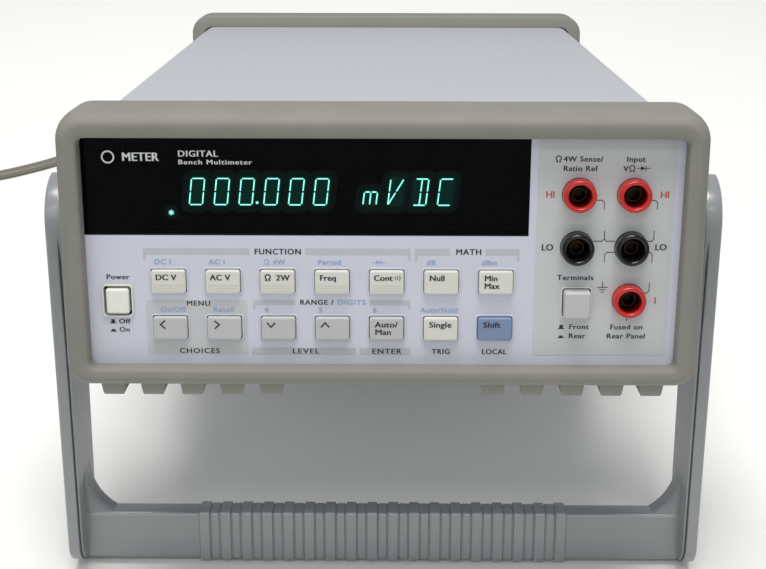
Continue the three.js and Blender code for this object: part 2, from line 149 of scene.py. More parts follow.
def spread(tree, factor, low, high):
    """factor mapped from about 0.3..0.7 to low..high."""
    node = tree.nodes.new("ShaderNodeMapRange")
    for key, value in (("From Min", 0.3), ("From Max", 0.7), ("To Min", low), ("To Max", high)):
        node.inputs[key].default_value = value
    tree.links.new(factor, node.inputs["Value"])
    return node.outputs["Result"]


def mix(tree, factor, first, second):
    """The colour of a socket, first, running into the fixed colour second as factor goes from 0 to 1."""
    node = tree.nodes.new("ShaderNodeMix")
    node.data_type = "RGBA"
    tree.links.new(factor, node.inputs["Factor"])
    tree.links.new(first, node.inputs["A"])
    node.inputs["B"].default_value = second
    return node.outputs["Result"]


def bumped(tree, shader, heights):
    """Bump nodes one behind the other: heights is a list of (height socket, depth in metres)."""
    normal = None
    for height, depth in heights:
        node = tree.nodes.new("ShaderNodeBump")
        node.inputs["Distance"].default_value = depth
        node.inputs["Strength"].default_value = 1.0
        tree.links.new(height, node.inputs["Height"])
        if normal:
            tree.links.new(normal, node.inputs["Normal"])
        normal = node.outputs["Normal"]
    tree.links.new(normal, shader.inputs["Normal"])


def moulded(name, colour, roughness, grain, depth, mottle, wear):
    """A moulded or painted surface: fine grain, faint mottling, and edges rubbed a little paler."""
    material, tree, shader = new_material(name, roughness)
    base = linear(colour)
    clouds = noise(tree, 60, 4)
    shade = ramp(tree, clouds, 0.3, 0.7, (tinted(base, 1 - mottle), tinted(base, 1 + mottle)))
    edge = tree.nodes.new("ShaderNodeNewGeometry")
    worn = ramp(tree, edge.outputs["Pointiness"], 0.52, 0.6, ([0, 0, 0, 1], [1, 1, 1, 1]))
    tree.links.new(mix(tree, worn, shade, tinted(base, 1 + wear)), shader.inputs["Base Color"])
    fine = noise(tree, grain, 2)
    uneven = spread(tree, noise(tree, 180, 3), roughness - 0.02, roughness + 0.02)
    tree.links.new(uneven, shader.inputs["Roughness"])
    bumped(tree, shader, [(fine, depth), (clouds, depth * 2)])
    return material


def key_plastic(name, colour):
    return moulded(name, colour, 0.42, 3000, 0.00001, 0.012, 0.03)


def socket_plastic(name, colour, roughness, mottle):
    return moulded(name, colour, roughness, 3000, 0.00001, mottle, 0.1)


def glossier(material):
    """The same surface with a stronger reflection."""
    material.node_tree.nodes["Principled BSDF"].inputs["Specular IOR Level"].default_value = 0.9
    return material


def ink(name, colour):
    """Printed ink: thin, a little uneven."""
    material, tree, shader = new_material(name, 0.6)
    base = linear(colour)
    shade = ramp(tree, noise(tree, 120, 2), 0.3, 0.7, (tinted(base, 0.98), tinted(base, 1.02)))
    tree.links.new(shade, shader.inputs["Base Color"])
    return material


def metal(name, colour, roughness, stretch=(1, 1, 1)):
    """Plated or brushed metal: fine scratches along one direction and a faint stain."""
    material, tree, shader = new_material(name, roughness, 1.0)
    base = linear(colour)
    stain = noise(tree, 90, 4)
    shade = ramp(tree, stain, 0.3, 0.7, (tinted(base, 0.86), tinted(base, 1.05)))
    tree.links.new(shade, shader.inputs["Base Color"])
    brushed = noise(tree, 900, 3, stretch)
    tree.links.new(spread(tree, brushed, roughness - 0.08, roughness + 0.1), shader.inputs["Roughness"])
    bumped(tree, shader, [(brushed, 0.000006)])
    return material


def smoked_window():
    """Dark see-through plastic with faint wiping marks in its gloss."""
    material, tree, shader = new_material("smoked_window", 0.03)
    shader.inputs["Base Color"].default_value = linear((140, 152, 150))
    shader.inputs["Transmission Weight"].default_value = 1.0
    shader.inputs["IOR"].default_value = 1.2
    tree.links.new(spread(tree, noise(tree, 45, 5, (1, 1, 0.4)), 0.015, 0.05), shader.inputs["Roughness"])
    return material


def black_film_and_shade():
    """The matt black film behind the window. It is coloured far darker than a real black film, so it is also
    painted shade for the dark inside.
    """
    material, tree, shader = new_material("display_film_and_shade", 0.8)
    tones = ([0.0006, 0.0008, 0.0009, 1], [0.0012, 0.0014, 0.0016, 1])
    shade = ramp(tree, noise(tree, 80, 3), 0.3, 0.7, tones)
    tree.links.new(shade, shader.inputs["Base Color"])
    shader.inputs["Specular IOR Level"].default_value = 0.05
    return material


def glow(name, colour, strength):
    """A surface that gives off light, a little uneven."""
    material, tree, shader = new_material(name, 0.5)
    shader.inputs["Base Color"].default_value = [0.01, 0.02, 0.02, 1]
    base = linear(colour)
    shade = ramp(tree, noise(tree, 700, 2), 0.3, 0.7, (tinted(base, 0.94), tinted(base, 1.04)))
    tree.links.new(shade, shader.inputs["Emission Color"])
    shader.inputs["Emission Strength"].default_value = strength
    return material


# Painted glow round a glyph: how bright each glowing step is, from its rim outwards, and how far each step
# reaches
GLOW_SPILL_TONES = (62, 47, 34, 23, 14)
GLOW_SPILL_REACH = (0.3, 0.8, 1.4, 2.1, 3.0)


def make_materials():
    return {
        "bumper": moulded("bumper_rubber", (130, 129, 122), 0.72, 1800, 0.00005, 0.035, 0.1),
        "cover": moulded("cover_paint", (174, 177, 183), 0.45, 2600, 0.00004, 0.02, 0.05),
        "panel": moulded("panel_plastic", (206, 208, 220), 0.42, 3000, 0.00002, 0.012, 0.04),
        "field": moulded("terminal_field", (194, 198, 198), 0.45, 3000, 0.00002, 0.012, 0.02),
        "print_grey": ink("grey_print", (186, 190, 197)),
        "menu_field": ink("menu_print", (194, 198, 198)),
        "key": key_plastic("key_cream", (214, 214, 205)),
        # A darker copy of the key plastic for the ribs on the function keys: painted shade of their grooves.
        "groove_shade": moulded("key_groove_shade", (206, 204, 194), 0.5, 3000, 0.00001, 0.012, 0.03),
        # A paler copy of the key cream: painted light for the power button, which stands where more light
        # falls.
        "key_cream_painted_lit": key_plastic("key_cream_painted_lit", (232, 233, 223)),
        "key_grey": key_plastic("key_grey", (187, 187, 187)),
        "key_blue": moulded("key_blue", (120, 139, 172), 0.42, 3000, 0.00001, 0.015, 0.04),
        "handle": glossier(moulded("handle_plastic", (137, 140, 142), 0.24, 2600, 0.000003, 0.012, 0.08)),
        "red": socket_plastic("socket_red", (188, 40, 37), 0.2, 0.03),
        # A darker copy of the red socket colour: painted shade for the inside of the red sockets.
        "red_painted_shade": socket_plastic("socket_red_painted_shade", (92, 16, 15), 0.4, 0.03),
        "black": socket_plastic("socket_black", (16, 16, 18), 0.1, 0.05),
        # A darker copy of the black socket colour: painted shade for the inside of the black sockets.
        "black_painted_shade": socket_plastic("socket_black_painted_shade", (10, 10, 11), 0.4, 0.05),
        "dark": moulded("dark_plastic", (34, 35, 38), 0.5, 2600, 0.00002, 0.05, 0.15),
        "lead": moulded("lead_vinyl", (122, 117, 106), 0.5, 2600, 0.00002, 0.03, 0.05),
        "window": smoked_window(),
        "film_and_shade": black_film_and_shade(),
        "glow": glow("glyph_glow", (165, 255, 238), 5.0),
        "halo": glow("glyph_halo", (0, 116, 98), 1.5),
        "ink": ink("black_ink", (40, 42, 50)),
        "ink_blue": ink("blue_ink", (142, 171, 208)),
        "ink_red": ink("red_ink", (190, 84, 82)),
        "ink_white": ink("white_ink", (222, 224, 226)),
        # The contact is brass, but its colour is far darker than brass: painted shade from deep inside the
        # socket.
        "shaded_brass": metal("contact_brass", (74, 62, 44), 0.42),
        "nickel": metal("nickel_plate", (200, 200, 196), 0.22),
        "sheet": metal("brushed_sheet", (176, 180, 184), 0.38, (1, 0.05, 1)),
        "glow_spill": [glow(f"glyph_glow_spill_{i}", (0, tone, tone * 0.86), 1.0) for i, tone in enumerate(GLOW_SPILL_TONES)],
    }


# --- mesh tools ---


def outline(half, z0, z1, top_radius, low_radius=None, x=0.0, steps=8):
    """The points (x, z) of a rounded rectangle, counter-clockwise from its lower right corner."""
    low = top_radius if low_radius is None else low_radius
    corners = (
        (x + half - low, z0 + low, low, -90),
        (x + half - top_radius, z1 - top_radius, top_radius, 0),
        (x - half + top_radius, z1 - top_radius, top_radius, 90),
        (x - half + low, z0 + low, low, 180),
    )
    points = []
    for cx, cz, radius, start in corners:
        for i in range(steps + 1):
            angle = math.radians(start + 90 * i / steps)
            points.append((cx + radius * math.cos(angle), cz + radius * math.sin(angle)))
    return points


def circle(x, z, radius, sides=36):
    angles = [2 * math.pi * i / sides for i in range(sides)]
    return [(x + radius * math.cos(a), z + radius * math.sin(a)) for a in angles]


def rectangle(x0, x1, z0, z1):
    return [(x0, z0), (x1, z0), (x1, z1), (x0, z1)]


def at_y(points, y):
    return [(x, y, z) for x, z in points]


def loft(rings, joined=False):
    """Verts and faces through closed rings of equal length: capped, or joined from the last to the first."""
    size = len(rings[0])
    verts = [point for ring in rings for point in ring]
    faces = []
    count = len(rings)
    for i in range(count if joined else count - 1):
        a, b = i * size, (i + 1) % count * size
        for j in range(size):
            k = (j + 1) % size
            faces.append((a + j, a + k, b + k, b + j))
    if not joined:
        faces.append(tuple(range(size)))
        faces.append(tuple(reversed(range((count - 1) * size, count * size))))
    return verts, faces


def prism(points, y0, y1):
    return loft([at_y(points, y) for y in (y0, y1)])


def block(x0, x1, y0, y1, z0, z1):
    return prism(rectangle(x0, x1, z0, z1), y0, y1)


def turned(profile, x, z, sides, joined=False):
    """A shape turned about a line along y, through points (radius, y)."""
    return loft([at_y(circle(x, z, max(radius, 0.01), sides), y) for radius, y in profile], joined)


def hub_turned(profile, side):
    """A shape turned about the handle's axis, through points (radius, how far out)."""
    rings = []
    for radius, out in profile:
        rings.append([(side * out, y, z) for y, z in circle(HUB_Y, HUB_Z, radius, 48)])
    return loft(rings)


def plate(outer, holes, y0, y1, bevel=0.0):
    """A flat plate between y0 and y1 with holes, made by filling a curve; its edges may be rounded."""
    curve = bpy.data.curves.new("plate", "CURVE")
    curve.dimensions = "2D"
    curve.fill_mode = "BOTH"
    curve.extrude = (y1 - y0) / 2 - bevel
    curve.bevel_depth = bevel
    curve.bevel_resolution = 2
    curve.offset = -bevel
    for points in [outer, *holes]:
        spline = curve.splines.new("POLY")
        spline.points.add(len(points) - 1)
        for knot, (x, z) in zip(spline.points, points):
            knot.co = (x, z, 0, 1)
        spline.use_cyclic_u = True
    return shape_of(curve, (y0 + y1) / 2)


def shape_of(curve, y):
    """The verts and faces of a flat curve or text, stood up in the plane at y."""
    shown = bpy.data.objects.new("flat", curve)
    bpy.context.scene.collection.objects.link(shown)
    graph = bpy.context.evaluated_depsgraph_get()
    mesh = bpy.data.meshes.new_from_object(shown.evaluated_get(graph))
    bpy.data.objects.remove(shown)
    verts = [(v.co.x, y - v.co.z, v.co.y) for v in mesh.vertices]
    faces = [tuple(p.vertices) for p in mesh.polygons]
    bpy.data.meshes.remove(mesh)
    bpy.data.curves.remove(curve)
    return verts, faces


def ribbon(points, width, y, thick=0.05):
    """A flat line of that width through points (x, z), with mitred bends, standing in the plane at y."""
    left, right = [], []
    for i, (x, z) in enumerate(points):
        before = Vector(points[max(i - 1, 0)])
        after = Vector(points[min(i + 1, len(points) - 1)])
        here = Vector((x, z))
        ins = (here - before).normalized() if i else (after - here).normalized()
        out = (after - here).normalized() if i < len(points) - 1 else ins
        along = (ins + out).normalized()
        across = Vector((-along.y, along.x)) * width / 2 / max(0.4, along.dot(ins))
        left.append(here + across)
        right.append(here - across)
    rings = []
    for a, b in zip(left, right):
        rings.append([(a.x, y, a.y), (a.x, y + thick, a.y), (b.x, y + thick, b.y), (b.x, y, b.y)])
    return loft(rings)


def piece(name, shapes, materials, body="root", replaces=(), place=UNIT, bevel=0.0, sharp=35):
    """One object from shapes, each a (verts, faces) or a (verts, faces, material number)."""
    mesh = bpy.data.meshes.new(name)
    build = bmesh.new()
    for shape in shapes:
        verts, faces = shape[0], shape[1]
        number = shape[2] if len(shape) > 2 else 0
        made = [build.verts.new(place @ Vector(v)) for v in verts]
        for face in faces:
            built = build.faces.new([made[i] for i in face])
            built.material_index = number
            built.smooth = True
    bmesh.ops.remove_doubles(build, verts=build.verts, dist=1e-6)
    bmesh.ops.recalc_face_normals(build, faces=build.faces)
    for vert in build.verts:
        vert.co.z = max(vert.co.z, 0.00003)
    build.to_mesh(mesh)
    build.free()
    mesh.set_sharp_from_angle(angle=math.radians(sharp))
    shown = bpy.data.objects.new(name, mesh)
    bpy.context.scene.collection.objects.link(shown)
    for material in materials:
        mesh.materials.append(material)
    if bevel:
        rounding = shown.modifiers.new("rounded_edges", "BEVEL")
        rounding.width = bevel * MM
        rounding.segments = 2
        rounding.limit_method = "ANGLE"
        rounding.angle_limit = math.radians(40)
    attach(shown, body)
    if replaces:
        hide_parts(*replaces)
    return shown


def capital_height():
    """The height of the built-in font's capitals at size 1."""
    curve = bpy.data.curves.new("letter", "FONT")
    curve.body = "H"
    verts, _ = shape_of(curve, 0)
    heights = [z for _, _, z in verts]
    return max(heights) - min(heights)


CAPITAL = capital_height()


def text(words, x, z, height, y, align="CENTER", bold=0.045, wide=1.0, spacing=1.0):
    """Flat lettering: height is the capitals', and z is the middle of their height.

    A heavier stroke is the same letters laid three times, a little to each side.
    """
    curve = bpy.data.curves.new("words", "FONT")
    curve.body = words
    curve.size = height / CAPITAL
    curve.align_x = align
    curve.space_character = spacing
    curve.extrude = 0.02
    curve.resolution_u = 3
    once, faces = shape_of(curve, y)
    verts, all_faces = [], []
    for copy in (-1, 0, 1):
        shift = copy * bold * height
        first = len(verts)
        verts += [(vx * wide + x + shift, vy + 0.004 * copy, vz + z - height / 2) for vx, vy, vz in once]
        all_faces += [tuple(first + i for i in face) for face in faces]
    return verts, all_faces


def numbered(shape, number):
    """A shape that takes the piece's material of that number."""
    return shape[0], shape[1], number


# --- camera, lights and floor ---


def add_camera():
    data = bpy.data.cameras.new("camera")
    data.sensor_width = 36
    data.lens = CAMERA_LENS
    data.clip_end = 20
    camera = bpy.data.objects.new("camera", data)
    camera.location = UNIT @ Vector(CAMERA_PLACE)
    camera.rotation_euler = (math.radians(90 - CAMERA_DOWN) - TILT, 0, math.radians(CAMERA_YAW))
    bpy.context.scene.collection.objects.link(camera)
    bpy.context.scene.camera = camera


def add_light(name, place, target, size, power, colour):
    data = bpy.data.lights.new(name, "AREA")
    data.shape = "RECTANGLE"
    data.size, data.size_y = size
    data.energy = power
    data.color = colour
    light = bpy.data.objects.new(name, data)
    light.location = place
    light.rotation_euler = (Vector(target) - Vector(place)).to_track_quat("-Z", "Y").to_euler()
    bpy.context.scene.collection.objects.link(light)


def add_stage():
    """The white table top, the studio's even light and its lamps."""
    mesh = bpy.data.meshes.new("floor")
    corners = [(x, y, 0) for x, y in rectangle(-FLOOR_SIZE, FLOOR_SIZE, -FLOOR_SIZE, FLOOR_SIZE)]
    mesh.from_pydata(corners, [], [(0, 1, 2, 3)])
    floor = bpy.data.objects.new("floor", mesh)
    bpy.context.scene.collection.objects.link(floor)
    material, _, shader = new_material("floor", 0.9)
    shader.inputs["Base Color"].default_value = linear(FLOOR_COLOUR)
    mesh.materials.append(material)
    world = bpy.data.worlds.new("studio")
    world.use_nodes = True
    background = world.node_tree.nodes["Background"]
    background.inputs["Color"].default_value = WORLD_COLOUR
    background.inputs["Strength"].default_value = WORLD_STRENGTH
    bpy.context.scene.world = world
    bpy.context.scene.view_settings.view_transform = "Standard"
    for light in LIGHTS:
        add_light(*light)


# --- the mains lead ---

LEAD_WIDTH, LEAD_THICK = 7.0, 4.0
LEAD_LIFT = 2.3
LEAD_ROUTE = [
    (-78, 207.3, 27.6), (-78.5, 219, 24), (-83, 233.3, 18.2), (-94, 245.6, 12.5), (-110, 252.4, 8),
    (-129, 251.9, 5), (-148, 243.4, 3.4), (-166, 228.2, LEAD_LIFT), (-186, 206.4, LEAD_LIFT),
    (-208, 186.2, LEAD_LIFT), (-224, 175.2, LEAD_LIFT), (-239, 167, LEAD_LIFT), (-252, 162.6, LEAD_LIFT),
    (-265, 161, LEAD_LIFT), (-278, 160.2, LEAD_LIFT),
]
COIL_X, COIL_Y = -292.0, 114.6
COIL_OUTER, COIL_INNER = 45.4, 31.4
PLUG_X, PLUG_Z = COIL_X - 45.5, 11.2


def coil_points():
    """Two layers of three turns: the lower one winds inwards and the upper one winds outwards."""
    steps = 36
    turns = 6.25
    width = COIL_OUTER - COIL_INNER
    points = []
    for i in range(int(turns * steps) + 1):
        turn = i / steps
        lower = min(turn, 3.0)
        upper = max(0.0, turn - 3.0)
        radius = COIL_OUTER - width * min(1.0, lower / 2.6) + width * min(1.0, upper / 2.9)
        rise = min(1.0, max(0.0, (turn - 2.75) / 0.5))
        z = LEAD_LIFT + (LEAD_THICK + 0.2) * rise * rise * (3 - 2 * rise)
        angle = math.pi / 2 + 2 * math.pi * turn
        points.append((COIL_X + radius * math.cos(angle), COIL_Y + radius * math.sin(angle), z))
    return points


def lead_line():
    """The lead's centreline: its route, the coil's turns, and the way into the plug."""
    end = [(PLUG_X, 102, 8.2), (PLUG_X, 92, 10.6), (PLUG_X, 85, PLUG_Z)]
    knots = [Vector(p) for p in LEAD_ROUTE + coil_points() + end]
    points = []
    for i in range(len(knots) - 1):
        a, b, c, d = (knots[min(max(i + k, 0), len(knots) - 1)] for k in (-1, 0, 1, 2))
        bend = 2 * a - 5 * b + 4 * c - d
        twist = 3 * b - a - 3 * c + d
        parts = max(1, round((c - b).length / 4))
        for j in range(parts):
            t = j / parts
            points.append(0.5 * (2 * b + (c - a) * t + bend * t**2 + twist * t**3))
    points.append(knots[-1])
    return points


def twin_section():
    """A flat two-core cord's section: two lobes with a groove between them."""
    lobe = LEAD_THICK / 2
    offset = LEAD_WIDTH / 2 - lobe
    points = []
    for side in (1, -1):
        for i in range(9):
            angle = math.radians(-128 + 256 * i / 8) if side > 0 else math.radians(52 + 256 * i / 8)
            points.append((side * offset + lobe * math.cos(angle), lobe * math.sin(angle)))
    return points


def swept(line, section):
    """The section drawn along a line, kept level across."""
    rings = []
    for i, here in enumerate(line):
        along = (line[min(i + 1, len(line) - 1)] - line[max(i - 1, 0)]).normalized()
        across = along.cross(Vector((0, 0, 1))).normalized()
        up = across.cross(along)
        rings.append([tuple(here + across * u + up * v) for u, v in section])
    return loft(rings)


def add_lead(paint):
    line = lead_line()
    shape = swept(line, twin_section())
    lead = piece("mains_lead_cord", [shape], [paint["lead"]],
                 replaces=("mains_lead", "lead_coil"), place=TABLE, sharp=50)
    plug = add_plug(paint)
    fitting = add_lead_connector(paint)


def hand_grip(x, z, sizes):
    """A grip lofted through rounded rectangles: (half its width, half its height, corner radius, y)."""
    rings = []
    for half, high, radius, y in sizes:
        rings.append(at_y(outline(half, z - high, z + high, radius, None, x, 6), y))
    return loft(rings)


def boot(x, z, start, ribs, taper):
    """A ribbed boot that keeps the lead from kinking, narrower by taper from one rib to the next."""
    profile = []
    for i in range(ribs):
        y = start + 2.4 * i
        radius = 6.9 - taper * i
        profile += [(radius, y), (radius, y + 1.4), (radius - 1.1, y + 1.6), (radius - 1.1, y + 2.3)]
    return turned(profile, x, z, 24)


def add_plug(paint):
    sizes = ((10.5, 8.6, 3, 29), (12.4, 10.4, 4, 30), (13, 11, 4.5, 33), (12.6, 10.8, 5, 44), (11, 10, 5, 52),
             (9, 8.4, 4.5, 59), (7.2, 6.6, 4, 62.5))
    shapes = [hand_grip(PLUG_X, PLUG_Z, sizes), boot(PLUG_X, PLUG_Z, 62, 10, 0.27)]
    for side in SIDES:
        x = PLUG_X + side * 6.35
        shapes.append(numbered(block(x - 0.75, x + 0.75, 12.2, 31, PLUG_Z - 0.7, PLUG_Z + 5.6), 1))
    pin = [(0.01, 9.2), (1.4, 9.4), (2.3, 11), (2.4, 13), (2.4, 31)]
    shapes.append(numbered(turned(pin, PLUG_X, PLUG_Z - 7, 20), 1))
    return piece("plug_body", shapes, [paint["lead"], paint["nickel"]],
                 replaces=("mains_plug",), place=TABLE, bevel=0.3)


def add_lead_connector(paint):
    x, z = -78.0, 30.0
    sizes = ((12.6, 9.0, 2.4, 350.5), (13.2, 9.6, 3, 351.2), (13.2, 9.6, 3, 360), (12, 9, 3.4, 367),
             (9, 8, 3.6, 372), (7.2, 6.8, 3.6, 374))
    nose = prism(outline(11.9, z - 8.2, z + 8.2, 1.5, None, x, 3), 334.3, 351)
    shapes = [hand_grip(x, z, sizes), boot(x, z, 373, 11, 0.25), nose]
    return piece("inlet_plug", shapes, [paint["lead"]],
                 replaces=("lead_connector",), bevel=0.3)


# --- bumpers, cover and handle ---


def bumper_ring(profile, lip, turned_round):
    """A ring lofted through its profile: (share of the way in from the outer outline, y)."""
    ends = [(BUMPER["half"], lip["half"]), (BUMPER["bottom"], lip["bottom"]), (BUMPER["top"], lip["top"]),
            (BUMPER["top_radius"], lip["radius"]), (BUMPER["low_radius"], lip["radius"])]
    rings = []
    for share, y in profile:
        points = outline(*(outer + (inner - outer) * share for outer, inner in ends), 0, 10)
        tapered = [(x * (1 - 0.008 * max(0.0, z / 95)) if share < 0.5 else x, z) for x, z in points]
        rings.append(at_y(tapered, BUMPER_MIRROR - y if turned_round else y))
    return loft(rings, joined=True)


def feet(y0, y1):
    """The ribs under a bumper, narrower towards the table."""
    shapes = []
    for x in (40, 54.3, 68.6, 82.9, 97.2):
        for side in SIDES:
            rings = []
            for z, half, short in ((-3, 4.6, 0), (-8.2, 3.8, 0.6), (-9.0, 3.5, 1.0), (-9.28, 3.0, 1.6)):
                rings.append([(px, py, z) for px, py in rectangle(side * x - half, side * x + half,
                                                                 y0 + short, y1 - short)])
            shapes.append(loft(rings))
    return shapes


BUMPER_NOSE = [(0, 4), (0.02, 0.5), (0.07, -2.2), (0.15, -4.3), (0.25, -5.7), (0.36, -6.5), (0.46, -6.85),
               (0.58, -6.88), (0.8, -6.6), (0.93, -6.3), (0.985, -5.5), (1.0, -4.0)]


def add_bumpers(paint):
    front = [(0.75, 19.9), (0.1, 19.9), (0.03, 19.5), (0, 18.8), *BUMPER_NOSE, (1.0, -0.4), (0.75, -0.35)]
    rear = [(0.67, 22), (0.1, 21.9), (0.03, 21.5), (0, 20.8), *BUMPER_NOSE, (1.0, 11.6), (0.67, 11.65)]
    piece("front_bumper_rubber", [bumper_ring(front, LIP, False), *feet(-1, 19)], [paint["bumper"]],
          replaces=("front_bumper",), sharp=50)
    piece("rear_bumper_rubber", [bumper_ring(rear, REAR_LIP, True), *feet(344, 366)], [paint["bumper"]],
          replaces=("rear_bumper",), sharp=50)


def add_cover(paint):
    half, top, radius, wall = COVER["half"], COVER["top"], COVER["radius"], COVER["wall"]
    outside = [at_y(outline(half, 0, top, radius, radius, 0, 12), y) for y in (COVER["front"], COVER["back"])]
    inside = [at_y(outline(half - wall, wall, top - wall, radius - wall, radius - wall, 0, 12), y)
              for y in (COVER["back"], COVER["front"])]
    piece("cover_shell", [loft(outside + inside, joined=True)], [paint["cover"]],
          replaces=("cover_sleeve",))


def grip_middle():
    """The grip's height in the instrument's frame: its lowest edge is what touches the table."""
    sine, cosine = math.sin(TILT), math.cos(TILT)
    reach = (GRIP_DEPTH - GRIP_RADIUS) * sine + (GRIP_HEIGHT - GRIP_RADIUS) * cosine + GRIP_RADIUS
    lift = (UNIT @ Vector((0, 0, 0))).z / MM
    return (reach - GRIP_FLAT - lift + GRIP_Y * sine) / cosine


def grip_stations():
    """(x, how far the section is drawn in) along the grip: plain ends and a ribbed middle."""
    plain, crest, middle, groove = 0.75, 0.03, 0.4, 0.65
    step, x = 0.2, -75.2
    stations = [(-ARM_INNER - 1, plain), (x - step, plain)]
    for i in range(18):
        pattern = ((4.2, crest), (0.6, groove), (3.2, middle), (0.6, groove))
        for width, size in pattern[:1] if i == 17 else pattern:
            stations += [(x + step, size), (x + width - step, size)]
            x += width
    stations += [(x + step, plain), (ARM_INNER + 1, plain)]
    return stations


def arm_section(half, thick, y, opened):
    """(how far out, y) round an arm: a thick outer plate and, where opened, a groove inside its edges."""
    corner = min(1.2, half * 0.5)
    groove = min(3.0, half * 0.5) * opened
    lip = min(1.6, half * 0.3) * opened
    edge = []
    for degrees in (0, 30, 60, 90):
        angle = math.radians(degrees)
        edge.append((thick - corner + corner * math.cos(angle), corner - corner * math.sin(angle)))
    edge += [(thick - 4.3, 0), (thick - 4.6, 0.3 * opened), (thick - 4.6, groove), (thick - 5.1, groove),
             (thick - 5.1, lip), (0, lip + 0.3)]
    front = [(out, y - half + back) for out, back in edge]
    return front + [(out, 2 * y - fore) for out, fore in reversed(front)]


def arm(side, grip_z):
    """One arm of the bail: round and plain at the hub, grooved below it, and a little closer in at the grip.

    Each section is (z, half its width, its middle's y, how far its groove is opened).
    """
    sections = []
    for i in range(13):
        angle = math.radians(90 - 90 * i / 12)
        half = max(0.4, HUB_RADIUS * math.cos(angle))
        sections.append((HUB_Z + HUB_RADIUS * math.sin(angle), half, HUB_Y, 0.01))
    for share, opened in ((0.03, 0.01), (0.07, 0.5), (0.12, 1), (0.33, 1), (0.66, 1), (1.0, 1)):
        sections.append((HUB_Z + (grip_z - HUB_Z) * share, HUB_RADIUS + (ARM_HALF - HUB_RADIUS) * share,
                         HUB_Y + (GRIP_Y - HUB_Y) * share, opened))
    for i in range(1, 11):
        angle = math.radians(90 * i / 10)
        half = max(0.4, ARM_HALF * math.cos(angle))
        sections.append((grip_z - ARM_HEEL * math.sin(angle), half, GRIP_Y, 1))
    rings = []
    bottom = grip_z - ARM_HEEL
    for z, half, y, opened in sections:
        outer = ARM_OUTER_LOW + (ARM_OUTER - ARM_OUTER_LOW) * min(1, (z - bottom) / (HUB_Z - bottom))
        drawn_in = max(0.0, 1 - (z - bottom) / 3)
        outer -= 2.2 * (1 - math.sqrt(1 - drawn_in * drawn_in))
        section = arm_section(half, outer - ARM_INNER, y, opened)
        rings.append([(side * (ARM_INNER + out), py, z) for out, py in section])
    return loft(rings)


def web(side, grip_z):
    """The rounded inner corner between an arm and the grip: as deep as the arm, then as deep as the grip."""
    rings = []
    radius, last = 22.0, 62
    turns = (0, 0, 6, 12, 18, 24, 30, 36, 42, 48, 54, 60, last)
    for i, degrees in enumerate(turns):
        angle = math.radians(degrees)
        out = radius * (1 - math.cos(angle)) if rings else -1
        top = grip_z + GRIP_HEIGHT - 0.9 + radius * (math.sin(math.radians(last)) - math.sin(angle))
        front = GRIP_Y - GRIP_DEPTH + 1.6
        back = GRIP_Y + 9.5 - 4.5 * (i / (len(turns) - 1)) ** 0.7
        x = side * (ARM_INNER - out)
        section = outline((back - front) / 2, grip_z - 6, top, 2.0, 1, (front + back) / 2, 4)
        rings.append([(x, y, z) for y, z in section])
    return loft(rings)


def grip_section(inset, grip_z):
    """The grip's outline (y, z), drawn in by inset; its upper front corner is rounded more loosely."""
    steps = 6
    depth, high = GRIP_DEPTH - inset, GRIP_HEIGHT - inset
    section = outline(depth, grip_z - high, grip_z + high, GRIP_RADIUS, None, GRIP_Y, steps)
    front, top = GRIP_Y - depth, grip_z + high
    corner = steps + 1
    section[2 * corner:3 * corner] = [
        (front + 1.3, top), (front + 0.9, top - 0.15), (front + 0.55, top - 0.5), (front, top - 1.45)]
    return section


def add_handle(paint):
    grip_z = grip_middle()
    rings = [[(x, y, z) for y, z in grip_section(inset, grip_z)] for x, inset in grip_stations()]
    boss = [(0.01, 122), (15.9, 122), (15.9, 114.2), (15.2, 113.6), (6.7, 113.6), (6.7, 120.8), (0.01, 120.8)]
    hub = [(0.01, 106.6), (15, 106.6), (15, 111.8), (14.2, 113), (6, 113), (6, 119.6), (5.4, 120),
           (0.01, 120)]
    shapes = [loft(rings)]
    for side in SIDES:
        shapes.append(arm(side, grip_z))
        shapes.append(web(side, grip_z))
        shapes.append(hub_turned(boss, side))
    piece("handle_bail", shapes, [paint["handle"]], "handle", ("handle",), sharp=28)
    for side, node in ((-1, "left_handle_pivot"), (1, "right_handle_pivot")):
        piece(node + "_hub", [hub_turned(hub, side)], [paint["handle"]],
              replaces=(node,), sharp=28)


# --- front panel ---

UPPER_KEYS = ["dc_volts", "ac_volts", "ohms", "freq", "cont", "null", "min_max"]
LOWER_KEYS = ["left", "right", "down", "up", "auto_man", "single", "shift"]


def key_places():
    rows = ((UPPER_KEYS, UPPER_ROW), (LOWER_KEYS, LOWER_ROW))
    return [(name, FIRST_KEY + KEY_PITCH * i, z) for names, z in rows for i, name in enumerate(names)]


def well(box, more=0.0):
    """The outline of a push switch's well, or of its rim."""
    high = box["high"] + box["play"] + more
    half = box["half"] + box["play"] + more
    return outline(half, box["z"] - high, box["z"] + high, 1.0 + more, None, box["x"], 5)


def key_outline(x, z, more, radius):
    return outline(KEY_HALF + more, z - KEY_HIGH - more, z + KEY_HIGH + more, radius, None, x, 4)


